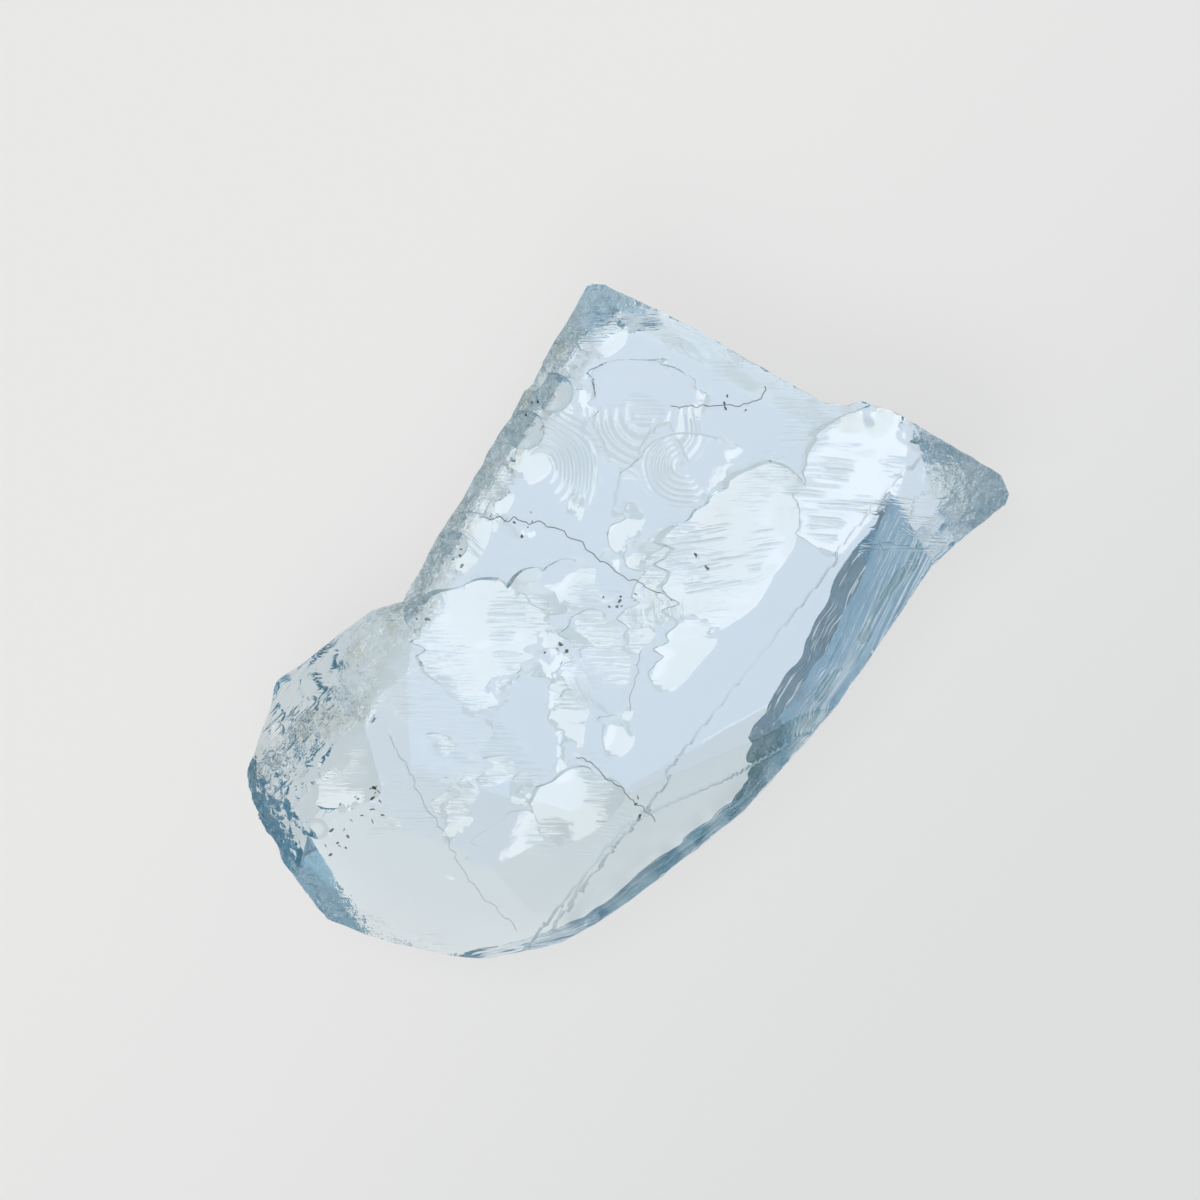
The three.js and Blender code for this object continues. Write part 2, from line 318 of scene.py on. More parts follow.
def waves(p, kinds):
    """Random waves of several kinds together."""
    return sum(height * grain(p, spacing, seed) for height, spacing, seed in kinds)


def patches(p, spacing, seed, start, end):
    """1 inside random patches and 0 between them."""
    return smooth_step(grain(p, spacing, seed), start, end)


def mark_place(p, centre, heading):
    """Coordinates of the points centred on a mark and turned along it."""
    along, across = direction(heading, 0), direction(heading + 90, 0)
    q = p - (*centre, THICKNESS)
    return np.column_stack([q @ along, q @ across, q[:, 2]])


def beyond(p, planes):
    """How far each point is outside the nearest of several flat faces."""
    return np.max([(p - at) @ direction(azimuth, elevation) for at, azimuth, elevation in planes], axis=0)


def beyond_leaning(p, faces):
    """The same for side faces, which lean in on their way down."""
    return beyond(p, [((*at, THICKNESS), azimuth, -undercut) for at, azimuth, undercut in faces])


def beyond_falling(p, faces):
    """The same for breaks that slope down from the front face."""
    return beyond(p, [((*at, THICKNESS), azimuth, 90 - fall) for at, azimuth, fall in faces])


def beyond_rising(p, faces):
    """The same for breaks that slope up from the resting face."""
    return beyond(p, [((*at, 0), azimuth, rise - 90) for at, azimuth, rise in faces])


def outline_gap(p):
    """Signed distance from the front outline, seen from above: positive outside."""
    x, y = p[:, 0], p[:, 1]
    nearest = np.full(len(p), np.inf)
    inside = np.zeros(len(p), bool)
    for (ax, ay), (bx, by) in zip(FRONT_OUTLINE, FRONT_OUTLINE[1:] + FRONT_OUTLINE[:1]):
        along, up = bx - ax, by - ay
        t = np.clip(((x - ax) * along + (y - ay) * up) / (along * along + up * up), 0, 1)
        nearest = np.minimum(nearest, (x - ax - t * along) ** 2 + (y - ay - t * up) ** 2)
        if up:
            inside ^= ((ay > y) != (by > y)) & (x < ax + (y - ay) * along / up)
    return np.where(inside, -1, 1) * np.sqrt(nearest)


def feathers():
    """Small flakes at random points of the feather fields, all falling much the same way."""
    rng = np.random.default_rng(4)
    small = []
    for middle, half_sizes, count in FEATHER_FIELDS:
        for _ in range(count):
            at = tuple(middle + np.array(half_sizes) * rng.uniform(-1, 1, 2))
            half_width = rng.uniform(*FEATHER_WIDTH)
            heading, fall = rng.normal(*FEATHER_HEADING), rng.uniform(*FEATHER_FALL)
            small.append((at, heading, fall, half_width * rng.uniform(*FEATHER_LENGTH), half_width))
    return small


ALL_FLAKES = FLAKES + feathers()


def flake_depth(p, tongues, at, heading, fall, half_length, half_width):
    """How deep each point is inside a flake: an oval patch above a gently dished slope."""
    along, across = direction(heading, 0), direction(heading + 90, 0)
    q = p - (*at, THICKNESS) + TONGUES_IN_FLOOR * tongues
    s, t = q @ along / half_length, q @ across / half_width
    slope = tan(radians(fall)) * half_length
    above = q[:, 2] + slope * (s + FLAKE_START - FLAKE_DISH[0] * s * s - FLAKE_DISH[1] * t * t)
    q = q + (1 - TONGUES_IN_FLOOR) * tongues
    reach = np.hypot(q @ along / half_length, q @ across / half_width)
    within = (1 - reach) * min(half_length, half_width) + FLAKE_WALL * q[:, 2]
    return np.minimum(above, within)


def rows_across(p, spans):
    """For each span from low x to high x, the rows of the points in it."""
    order = np.argsort(p[:, 0])
    x = p[order, 0]
    return [order[np.searchsorted(x, low):np.searchsorted(x, high)] for low, high in spans]


def flaked(gap, p):
    """The gap after all flakes are struck off, each strayed from its oval and with ragged ends."""
    strayed = p + np.column_stack([waves(p, kinds) for kinds in EDGE_WAVES])
    tongues = waves(mark_place(p, (0, 0), BRUSHED_WAY) * TONGUE_STRETCH, TONGUE_WAVES)
    tongues = tongues[:, None] * direction(BRUSHED_WAY, 0)
    reaches = [max(flake[3:5]) + FLAKE_MARGIN for flake in ALL_FLAKES]
    spans = [(flake[0][0] - reach, flake[0][0] + reach) for flake, reach in zip(ALL_FLAKES, reaches)]
    for flake, rows in zip(ALL_FLAKES, rows_across(strayed, spans)):
        gap[rows] = np.maximum(gap[rows], flake_depth(strayed[rows], tongues[rows], *flake))
    return gap


def faces_gap(p):
    """How far each point is outside the stone's flat faces and flakes."""
    along_prism = p * (1, 0, 0)
    bevel = beyond_rising(p, BASE_BEVEL) + waves(along_prism, BEVEL_WAVES)
    main = np.minimum(beyond_leaning(p, BODY_FACES), beyond_leaning(p, LOBE_FACES))
    main = np.maximum.reduce([main, beyond_leaning(p, MAIN_FACES), bevel])
    lumps = np.minimum(main, beyond_leaning(p, CORNER_FACES))
    gap = np.maximum.reduce([
        lumps, outline_gap(p), p[:, 2] - THICKNESS, -p[:, 2],
        beyond_falling(p, FRONT_SLOPES), beyond_rising(p, BACK_SLOPES),
    ])
    top = p[:, 2] > THICKNESS - FLAKES_END
    gap[top] = flaked(gap[top], p[top])
    return gap


# ---- The places of the stone, and what each of them has of a kind of roughness

def rim(p):
    return smooth_step(outline_gap(p), *RIM_EDGE)


def front_edge(p):
    return smooth_step(outline_gap(p), *FRONT_EDGE) * (p[:, 2] > THICKNESS - FRONT_EDGE_DEPTH)


def wall(p):
    x, y, z = p.T
    far_end, near_end = WALL_ENDS
    outer = smooth_step(y + WALL_LEAN * (THICKNESS - z), *WALL_EDGE)
    return outer * smooth_step(x, *far_end) * smooth_step(x, *near_end)


def lobe(p):
    x, y, z = p.T
    return smooth_step(y - LOBE_TURN * (x - LOBE_ROOT), *LOBE_EDGE) * smooth_step(x, *LOBE_END)


def rubble(p):
    """1 along the rough ridge, fading to 0 over its width."""
    far = np.full(len(p), np.inf)
    for start, end in zip(np.array(RUBBLE), np.array(RUBBLE[1:])):
        run = end - start
        t = np.clip((p[:, :2] - start) @ run / (run @ run), 0, 1)
        far = np.minimum(far, np.linalg.norm(p[:, :2] - start - t[:, None] * run, axis=1))
    return smooth_step(far, *RUBBLE_WIDTH) * smooth_step(p[:, 2], *RUBBLE_BASE)


def tip(p):
    return smooth_step(p[:, 0], *TIP_EDGE)


def corners(p):
    """The hammered corner and the dark one."""
    found = [smooth_step(p[:, :2] @ np.array(way), *edge) for way, edge in (HAMMERED_CORNER, DARK_CORNER)]
    return np.maximum(*found)


def prism_side(p, edge=SIDE_EDGE):
    """1 on the striated side of the prism and on its bevel."""
    return smooth_step(p[:, 1] + SIDE_TURN * p[:, 0], *edge) * (p[:, 2] < THICKNESS - SIDE_TOP)


def grooved_side(p):
    return prism_side(p, GROOVED_EDGE) * (1 - corners(p))


def broken_front(p):
    """1 where the front face is all small breaks, 0 where it is a clear window beside the prism face."""
    return smooth_step(p[:, 1], *CLEAR_WINDOW_EDGE) * smooth_step(p[:, 2], *BROKEN_FRONT_BASE)


WORN = {wall: 1, corners: 1, tip: 0.6, lobe: 0.4, rubble: 1}
CHIPPED = {wall: 1, corners: 1, tip: 1, rubble: 1, rim: 1, prism_side: 1}
GRITTY = {wall: 1, corners: 1, rubble: 0.4, tip: 0.4}
# where the grey grime and its painted shade lie
GRIMY_AND_SHADED = {wall: 1, rubble: 0.4, corners: 0.2}
STAINED = {wall: 1, rubble: 1}


def mixed(p, shares):
    """The shares of several places together, at most 1."""
    return np.clip(sum(share * place(p) for place, share in shares.items()), 0, 1)


# ---- Chips and wear

def struck_chips(rng, points, outward, place, level_too, sizes):
    """Small round chips at random points of one place: their centres and radii."""
    count, radii, depths = sizes
    open_ground = (outward[:, 2] < LEVEL) | level_too
    weight = place(points) * open_ground * (points[:, 2] > CHIPS_START)
    chosen = rng.choice(len(points), count, p=weight / weight.sum())
    radius = rng.uniform(*radii, count)
    depth = rng.uniform(*depths, count)
    away = outward[chosen] + rng.normal(0, CHIP_LEAN, (count, 3))
    away /= np.linalg.norm(away, axis=1, keepdims=True)
    return points[chosen] + away * (radius - depth)[:, None], radius


def all_chips(points, faces):
    """The chips of every place: their centres, and their radii."""
    rng = np.random.default_rng(11)
    corner = points[faces]
    outward = np.cross(corner[:, 2] - corner[:, 0], corner[:, 3] - corner[:, 1])
    outward /= np.linalg.norm(outward, axis=1, keepdims=True) + 1e-9
    middle = corner.mean(axis=1)
    families = [
        (wall, False, WALL_CHIPS), (lobe, False, LOBE_CHIPS), (rubble, False, RUBBLE_CHIPS),
        (corners, False, CORNER_CHIPS), (front_edge, False, RIM_CHIPS), (corners, True, HAMMER_MARKS),
    ]
    struck = [struck_chips(rng, middle, outward, *family) for family in families]
    return [np.concatenate(values) for values in zip(*struck)]


def chipped(gap, p):
    spans = [(centre[0] - radius, centre[0] + radius) for centre, radius in zip(*CHIPS)]
    for centre, radius, rows in zip(*CHIPS, rows_across(p, spans)):
        gap[rows] = np.maximum(gap[rows], radius - np.linalg.norm(p[rows] - centre, axis=1))
    return gap


def striations(p):
    """Fine steps along the prism on its striated side."""
    return prism_side(p) * waves(p * STRIATION_STRETCH, STRIATION_WAVES)


def streaks(p):
    """Shallow grooves along the slope of the lobe."""
    return lobe(p) * waves(mark_place(p, (0, 0), STREAKED_WAY) * STREAK_STRETCH, STREAK_WAVES)


def stone_gap(p):
    """How far each point is outside the finished stone."""
    gap = faces_gap(p)
    near = np.abs(gap) < WORN_REACH
    q = p[near]
    worn = rim(q) * (RIM_WORN + waves(q, RIM_WAVES)) + mixed(q, WORN) * (GRIT_WORN + waves(q, GRIT_WAVES))
    gap[near] = chipped(gap[near] + worn + striations(q) + streaks(q), q)
    return np.maximum(gap, -p[:, 2])


# ---- Dual contouring: the closed surface where a field is zero

CUBE_CORNERS = list(np.ndindex(2, 2, 2))
SEARCH_ROUNDS = 4        # in the search for each crossing
SEARCH_MARGIN = 0.02     # the search keeps this part of a stretch away from its ends
SLOPE_NUDGE = 0.02       # the field's slope is measured over this part of a cell
MIDDLE_PULL = 0.002      # how firmly a point is drawn to the middle of its cell's crossings
JUST_INSIDE = -1e-6


def in_pieces(field, p, size=400_000):
    return np.concatenate([field(p[i:i + size]) for i in range(0, len(p), size)])


def connected(group):
    """Whether steps along a cell's edges lead from the first of these corners to all the others."""
    reached = group[:1]
    for here in reached:
        near = [other for other in group if np.sum(np.not_equal(here, other)) == 1]
        reached += [other for other in near if other not in reached]
    return len(reached) == len(group)


def plain_cells():
    """For each of the 256 ways that corners can lie inside, whether one plain sheet divides the cell."""
    plain = np.empty(256, bool)
    for way in range(256):
        inside = [corner for i, corner in enumerate(CUBE_CORNERS) if way >> i & 1]
        outside = [corner for corner in CUBE_CORNERS if corner not in inside]
        plain[way] = connected(inside) and connected(outside)
    return plain


def untangle(values):
    """Fills in lattice points until every cell is divided by one plain sheet at most."""
    plain = plain_cells()
    while True:
        inside = values < 0
        way = np.zeros(np.array(values.shape) - 1, int)
        for i, (a, b, c) in enumerate(CUBE_CORNERS):
            way += inside[a:a + way.shape[0], b:b + way.shape[1], c:c + way.shape[2]].astype(int) << i
        cell = np.argwhere(~plain[way])
        if not len(cell):
            return
        places = cell[:, None, :] + np.array(CUBE_CORNERS)
        found = values[tuple(places.reshape(-1, 3).T)].reshape(-1, 8)
        least = np.where(found < 0, np.inf, found).argmin(axis=1)
        values[tuple(places[np.arange(len(cell)), least].T)] = JUST_INSIDE


def crossings_along(axis, field, lattice, values, step):
    """Where the surface crosses the lattice edges along one axis, and the four cells round each."""
    first, second = np.moveaxis(values, axis, 0)[:-1], np.moveaxis(values, axis, 0)[1:]
    first, second = np.moveaxis(first, 0, axis), np.moveaxis(second, 0, axis)
    cell = np.argwhere((first < 0) != (second < 0))
    start = lattice[tuple(cell.T)]
    reach = step * np.eye(3)[axis]
    near, far = first[tuple(cell.T)], second[tuple(cell.T)]
    leaves = near < 0
    low, high = np.zeros(len(cell)), np.ones(len(cell))
    for _ in range(SEARCH_ROUNDS):
        t = low + (high - low) * np.clip(near / (near - far), SEARCH_MARGIN, 1 - SEARCH_MARGIN)
        value = in_pieces(field, start + t[:, None] * reach)
        same = (value < 0) == leaves
        low, high = np.where(same, t, low), np.where(same, high, t)
        near, far = np.where(same, value, near), np.where(same, far, value)
    t = low + (high - low) * near / (near - far)
    u, w = np.eye(3, dtype=int)[(axis + 1) % 3], np.eye(3, dtype=int)[(axis + 2) % 3]
    cells = np.array(values.shape) - 1
    around = [np.ravel_multi_index((cell - back).T, cells) for back in (0 * u, u, u + w, w)]
    around = np.stack(around, axis=1)
    return start + t[:, None] * reach, around, np.where(leaves[:, None], around, around[:, ::-1])


def best_points(at, normal, owners):
    """For each cell, the point nearest to all the planes of its crossings."""
    used, index = np.unique(owners, return_inverse=True)
    index = index.reshape(owners.shape)

    def gather(values):
        return sum(np.bincount(column, weights=values, minlength=len(used)) for column in index.T)

    count = gather(np.ones(len(at)))
    middle = np.stack([gather(column) for column in at.T], axis=1) / count[:, None]
    spread = np.array([[gather(normal[:, i] * normal[:, j]) for j in range(3)] for i in range(3)])
    spread = np.moveaxis(spread, 2, 0)
    height = np.einsum("ij,ij->i", normal, at)
    pull = np.stack([gather(normal[:, i] * height) for i in range(3)], axis=1)
    pull -= np.einsum("nij,nj->ni", spread, middle)
    spread += MIDDLE_PULL * count[:, None, None] * np.eye(3)
    return used, middle + np.linalg.solve(spread, pull[:, :, None])[:, :, 0]


def surface_of(field, step):
    """The surface where the field is zero, as points and four-sided faces."""
    outline = np.array(FRONT_OUTLINE)
    low = np.array([*outline.min(axis=0), 0]) - GRID_MARGIN * step
    high = np.array([*outline.max(axis=0), THICKNESS]) + GRID_MARGIN * step
    counts = np.ceil((high - low) / step).astype(int) + 1
    axes = [low[i] + step * np.arange(counts[i]) for i in range(3)]
    lattice = np.stack(np.meshgrid(*axes, indexing="ij"), axis=-1)
    values = in_pieces(field, lattice.reshape(-1, 3)).reshape(counts)
    untangle(values)
    found = [crossings_along(axis, field, lattice, values, step) for axis in range(3)]
    at, owners, quads = map(np.concatenate, zip(*found))

    here = in_pieces(field, at)
    nudges = step * SLOPE_NUDGE * np.eye(3)
    normal = np.stack([in_pieces(field, at + nudge) - here for nudge in nudges], axis=1)
    normal /= np.linalg.norm(normal, axis=1, keepdims=True)
    used, points = best_points(at, normal, owners)
    corner = low + step * np.stack(np.unravel_index(used, counts - 1), axis=1)
    return np.clip(points, corner, corner + step), np.searchsorted(used, quads)


def middle_of(points):
    """The middle of the points' box, seen from above."""
    return np.array([*(points.min(axis=0) + points.max(axis=0))[:2] / 2, 0])


BLANK = surface_of(faces_gap, BLANK_STEP)
MIDDLE = middle_of(BLANK[0])
CHIPS = all_chips(*BLANK)


# ---- The stone's mesh

def vertex_places(mesh):
    """The mesh's points in millimetres."""
    places = np.empty(3 * len(mesh.vertices))
    mesh.vertices.foreach_get("co", places)
    return places.reshape(-1, 3) / MM + MIDDLE


def merge_flat_base(mesh):
    """Makes one face of the many that lie on the surface under the stone."""
    grid = bmesh.new()
    grid.from_mesh(mesh)
    base = [face for face in grid.faces if max(v.co.z for v in face.verts) < 1e-7]
    bmesh.ops.dissolve_faces(grid, faces=base)
    grid.to_mesh(mesh)
    grid.free()


def mesh_object(name, points, faces, material):
    mesh = bpy.data.meshes.new(name)
    mesh.from_pydata(((points - MIDDLE) * MM).tolist(), [], faces.tolist())
    merge_flat_base(mesh)
    mesh.update()
    mesh.materials.append(material)
    piece = bpy.data.objects.new(name, mesh)
    bpy.context.scene.collection.objects.link(piece)
    return piece


def sharp_edges(mesh):
    """Marks the edges that bend more than is smooth at their place."""
    loops, edges, polygons = len(mesh.loops), len(mesh.edges), len(mesh.polygons)
    edge_of, start, normals = np.empty(loops, int), np.empty(polygons, int), np.empty(3 * polygons)
    mesh.loops.foreach_get("edge_index", edge_of)
    mesh.polygons.foreach_get("loop_start", start)
    mesh.polygons.foreach_get("normal", normals)
    face_of = np.searchsorted(start, np.arange(loops), side="right") - 1
    pairs = face_of[np.argsort(edge_of, kind="stable")].reshape(edges, 2)
    first, second = normals.reshape(-1, 3)[pairs.T]
    bend = np.degrees(np.arccos(np.clip(np.sum(first * second, axis=1), -1, 1)))
    ends = np.empty(2 * edges, int)
    mesh.edges.foreach_get("vertices", ends)
    places = vertex_places(mesh)[ends.reshape(edges, 2)].mean(axis=1)
    sharp = bend > SMOOTH_BEND + (CHIPPED_BEND - SMOOTH_BEND) * mixed(places, CHIPPED)
    mesh.attributes.new("sharp_edge", "BOOLEAN", "EDGE").data.foreach_set("value", sharp)
    mesh.polygons.foreach_set("use_smooth", np.ones(polygons, bool))


def paint(mesh, name, values):
    kind, field = ("FLOAT_VECTOR", "vector") if values.ndim == 2 else ("FLOAT", "value")
    mesh.attributes.new(name, kind, "POINT").data.foreach_set(field, values.astype(np.float32).ravel())


def paint_hackles(mesh):
    """Where each point lies across the hackles near it, how high they are and how frosted."""
    p = vertex_places(mesh)
    place, height, best = np.zeros_like(p), np.zeros(len(p)), np.zeros(len(p))
    shares = patches(p, *HACKLE_PATCHES)
    for centre, heading, half_length, half_width, spacing in HACKLES:
        q = mark_place(p, centre, heading)
        inside = np.linalg.norm(q / (half_length, half_width, HACKLE_DEPTH), axis=1)
        shown = smooth_step(inside, *HACKLE_FADE)
        here = shown > best
        best[here] = shown[here]
        place[here] = q[here] / (spacing * np.array(HACKLE_SIZE))
        height[here] = HACKLE_RISE * spacing * shown[here] * shares[here]
    paint(mesh, "hackle_place", place)
    paint(mesh, "hackle_height", height)
    paint(mesh, "hackle_frost", best * shares)


def paint_ribs(mesh):
    """How many ribs lie between each point and the start of its break, and how high they are."""
    p = vertex_places(mesh)
    turns, height = np.zeros(len(p)), np.zeros(len(p))
    for centre, heading, reach, spacing in RIBS:
        q = mark_place(p, centre, heading) * RIB_STRETCH
        radius = np.linalg.norm(q, axis=1)
        shown = smooth_step(q[:, 0] / reach, *RIB_SIDE) * smooth_step(radius / reach, *RIB_END)
        shown *= smooth_step(radius / reach, *RIB_START) * smooth_step(q[:, 2], *RIB_BASE)
        here = shown > 0
        turns[here] = (radius / spacing + waves(p, RIB_WAVES))[here]
        height[here] = RIB_RISE * spacing * shown[here]
    paint(mesh, "rib_turns", turns)
    paint(mesh, "rib_height", height)


def paint_brushing(mesh):
    """Faint grooves over the broken front and on the striated side."""
    p = vertex_places(mesh)
    grooved = grooved_side(p)
    place = mark_place(p, (0, 0), BRUSHED_WAY) / BRUSH_SIZE
    place[grooved > 0.5] = p[grooved > 0.5] / GROOVE_SIZE
    front = broken_front(p) * patches(p, *BRUSHED_PATCHES)
    paint(mesh, "brush_place", place)
    paint(mesh, "brush_height", BRUSH_HEIGHT * front + GROOVE_HEIGHT * grooved)


def paint_grime_shade_and_stain(mesh):
    """Grime that is partly painted shade, brown film and grit on the rough breaks."""
    p = vertex_places(mesh)
    paint(mesh, "grime_and_shade", GRIME_AND_SHADE_COVER * mixed(p, GRIMY_AND_SHADED))
    paint(mesh, "stain", patches(p, *STAINED_PATCHES) * mixed(p, STAINED))
    paint(mesh, "grit_height", GRIT_HEIGHT * mixed(p, GRITTY))


# ---- Node trees

class Socket:
    """A node's output. Arithmetic on it adds Math nodes to its tree."""

    def __init__(self, tree, output):
        self.tree, self.output = tree, output

    def math(self, operation, first, second):
        return self.tree.add("ShaderNodeMath", {"operation": operation}, {0: first, 1: second})

    def __add__(self, other):
        return self.math("ADD", self, other)

    def __sub__(self, other):
        return self.math("SUBTRACT", self, other)

    def __rsub__(self, other):
        return self.math("SUBTRACT", other, self)

    def __mul__(self, other):
        return self.math("MULTIPLY", self, other)

    __radd__ = __add__
    __rmul__ = __mul__


class Tree:
    """The node tree of a material, of the room or of Geometry Nodes, emptied first."""

    def __init__(self, owner):
        if hasattr(owner, "node_tree"):
            owner.use_nodes = True
            owner = owner.node_tree
        self.nodes, self.links = owner.nodes, owner.links
        self.nodes.clear()

    def add(self, kind, settings, values, output=0):
        """Adds a node, with its settings first and then the values or links of its sockets."""
        node = self.nodes.new(kind)
        for name, setting in settings.items():
            setattr(node, name, setting)
        for name, value in values.items():
            if isinstance(value, Socket):
                self.links.new(value.output, node.inputs[name])
            else:
                node.inputs[name].default_value = value
        return Socket(self, node.outputs[output]) if node.outputs else None

    def step(self, value, start, end):
        """Smoothly 0 to 1 as the value goes from start to end."""
        return self.add("ShaderNodeMapRange", {"interpolation_type": "SMOOTHSTEP"},
                        {"Value": value, "From Min": start, "From Max": end})

    def noise(self, place, pattern, kind="FBM", output=0):
        scale, detail = pattern
        return self.add("ShaderNodeTexNoise", {"noise_type": kind},
                        {"Vector": place, "Scale": scale, "Detail": detail}, output)

    def blend(self, factor, first, second):
        """One colour where the factor is 0 and the other where it is 1."""
        return self.add("ShaderNodeMix", {"data_type": "RGBA"},
                        {0: factor, 6: (*first, 1), 7: (*second, 1)}, 2)

    def towards(self, place, azimuth, elevation):
        """How far a place lies in one direction."""
        return self.add("ShaderNodeVectorMath", {"operation": "DOT_PRODUCT"},
                        {0: place, 1: tuple(direction(azimuth, elevation))}, "Value")


# ---- Materials

def aquamarine():
    """Clear pale blue beryl: glossy, with hackles and ribs on its breaks, and where it is rough a grey
    diffuse that is grime and partly painted shade.
    """
    material = bpy.data.materials.new("aquamarine")
    tree = Tree(material)

    def painted(name, output="Fac"):
        return tree.add("ShaderNodeAttribute", {"attribute_name": name}, {}, output)

    ridges = tree.noise(painted("hackle_place", "Vector"), HACKLE_PATTERN, "RIDGED_MULTIFRACTAL")
    hackles = ridges * painted("hackle_height")
    wave = tree.add("ShaderNodeMath", {"operation": "SINE"}, {0: painted("rib_turns") * (2 * pi)})
    ribs = wave * painted("rib_height")
    brushing = tree.noise(painted("brush_place", "Vector"), BRUSH_PATTERN) * painted("brush_height")
    coordinates = tree.add("ShaderNodeTexCoord", {}, {}, "Object")
    grit = tree.noise(coordinates, GRIT_PATTERN) * painted("grit_height")
    etch = tree.noise(coordinates, ETCH_PATTERN) * ETCH_HEIGHT
    height = hackles + ribs + brushing + grit + etch
    normal = tree.add("ShaderNodeBump", {}, {"Distance": MM, "Height": height})
    shader = tree.add("ShaderNodeBsdfPrincipled", {}, {
        "Base Color": tree.blend(painted("stain"), CLEAR, BROWN_FILM),
        "Roughness": painted("hackle_frost") * FROST + POLISH, "IOR": REFRACTION,
        "Transmission Weight": 1.0, "Normal": normal,
    })
    # Grime and painted shade: a grey diffuse, in grains, mixed in on the rough breaks makes them darker
    # grey
    grains = tree.step(tree.noise(coordinates, GRIME_AND_SHADE_PATTERN), *GRIME_AND_SHADE_FADE)
    grime_and_shade = tree.add("ShaderNodeBsdfDiffuse", {}, {"Color": (*GREY_GRIME_AND_SHADE, 1), "Normal": normal})
    surface = tree.add("ShaderNodeMixShader", {}, {0: painted("grime_and_shade") * grains, 1: shader, 2: grime_and_shade})
    blue = tree.add("ShaderNodeVolumeAbsorption", {}, {"Color": (*BERYL_BLUE, 1), "Density": BLUE_DENSITY})
    tree.add("ShaderNodeOutputMaterial", {}, {"Surface": surface, "Volume": blue})
    return material


def dull(name, colour):
    material = bpy.data.materials.new(name)
    tree = Tree(material)
    shader = tree.add("ShaderNodeBsdfPrincipled", {},
                      {"Base Color": (*colour, 1), "Roughness": DULL_ROUGHNESS})
    tree.add("ShaderNodeOutputMaterial", {}, {"Surface": shader})
    return material


def pale_paper():
    """A paper lit from below, a little less brightly towards one side."""
    material = bpy.data.materials.new("pale_paper")
    tree = Tree(material)
    place = tree.add("ShaderNodeTexCoord", {}, {}, "Object")
    fade = tree.step(tree.towards(place, PAPER_DIMS, 0), *PAPER_FADE)
    shader = tree.add("ShaderNodeBsdfPrincipled", {}, {
        "Base Color": (*PAPER, 1), "Roughness": PAPER_ROUGHNESS, "Specular IOR Level": PAPER_GLOSS,
        "Emission Color": tree.blend(fade, PAPER_GLOW, PAPER_GLOW_DIM), "Emission Strength": PAPER_STRENGTH,
    })
    tree.add("ShaderNodeOutputMaterial", {}, {"Surface": shader})
    return material


# ---- Cracks and specks, grown by Geometry Nodes

def front_places(spots, below):
    """Points at some distance below the front surface, over the given spots."""
    levels = np.arange(THICKNESS, THICKNESS - FLAKES_END, -DEPTH_STEP)
    places = []
    for x, y in spots:
        column = np.column_stack([np.full((len(levels), 2), (x, y)), levels])
        inside = stone_gap(column) < -DEPTH_MARGIN
        places.append((x, y, levels[inside.argmax()] - below))
    return places


def crack_places(paths):
    """The points of several paths below the front surface, and the edges along each path."""
    points, edges = [], []
    parts = np.arange(CRACK_PARTS) / CRACK_PARTS
    for path in paths:
        dense = []
        for start, end in zip(path, path[1:]):
            dense += [tuple(np.array(start) + (np.array(end) - start) * t) for t in parts]
        dense.append(path[-1])
        edges += [(len(points) + i, len(points) + i + 1) for i in range(len(dense) - 1)]
        points += front_places(dense, CRACK_DEPTH)
    return points, edges


def grow(name, start, build, sizes, material):
    """Makes a piece by running Geometry Nodes on a mesh of points and edges, and keeps its mesh."""
    group = bpy.data.node_groups.new(name, "GeometryNodeTree")
    group.interface.new_socket("Start", in_out="INPUT", socket_type="NodeSocketGeometry")
    for label in sizes:
        group.interface.new_socket(label, in_out="INPUT", socket_type="NodeSocketFloat")
    group.interface.new_socket("Grown", in_out="OUTPUT", socket_type="NodeSocketGeometry")
    tree = Tree(group)
    given = tree.nodes.new("NodeGroupInput")
    grown = build(tree, {socket.name: Socket(tree, socket) for socket in given.outputs if socket.name})
    coated = tree.add("GeometryNodeSetMaterial", {}, {"Geometry": grown, "Material": material})
    tree.add("NodeGroupOutput", {}, {"Grown": coated})

    points, edges = start
    mesh = bpy.data.meshes.new(name)
    mesh.from_pydata([tuple((np.array(point) - MIDDLE) * MM) for point in points], edges, [])
    piece = bpy.data.objects.new(name, mesh)
    bpy.context.scene.collection.objects.link(piece)
    modifier = piece.modifiers.new("grow", "NODES")
    modifier.node_group = group
    for item in group.interface.items_tree:
        if item.name in sizes:
            modifier[item.identifier] = sizes[item.name] * MM
    piece.data = bpy.data.meshes.new_from_object(piece.evaluated_get(bpy.context.evaluated_depsgraph_get()))
    piece.modifiers.clear()
    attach(piece, "root")


def threads(tree, given):
    """A wavy thread of uneven thickness along each path."""
    curve = tree.add("GeometryNodeMeshToCurve", {}, {"Mesh": given["Start"]})
    curve = tree.add("GeometryNodeResampleCurve", {"mode": "LENGTH"},
                     {"Curve": curve, "Length": THREAD_STEP * MM})
    place = tree.add("GeometryNodeInputPosition", {}, {})
    shake = tree.noise(place, SHAKE_PATTERN, output="Color")
    shake = tree.add("ShaderNodeVectorMath", {"operation": "SUBTRACT"}, {0: shake, 1: (0.5, 0.5, 0.5)})
    shake = tree.add("ShaderNodeVectorMath", {"operation": "MULTIPLY"}, {0: shake, 1: given["Waviness"]})
    curve = tree.add("GeometryNodeSetPosition", {}, {"Geometry": curve, "Offset": shake})
    width = tree.noise(place, WIDTH_PATTERN) * WIDTH_GAIN - WIDTH_LOSS
    curve = tree.add("GeometryNodeSetCurveRadius", {}, {"Curve": curve, "Radius": width})
    ring = tree.add("GeometryNodeCurvePrimitiveCircle", {},
                    {"Resolution": THREAD_SIDES, "Radius": given["Thickness"]})
    return tree.add("GeometryNodeCurveToMesh", {},
                    {"Curve": curve, "Profile Curve": ring, "Fill Caps": True})


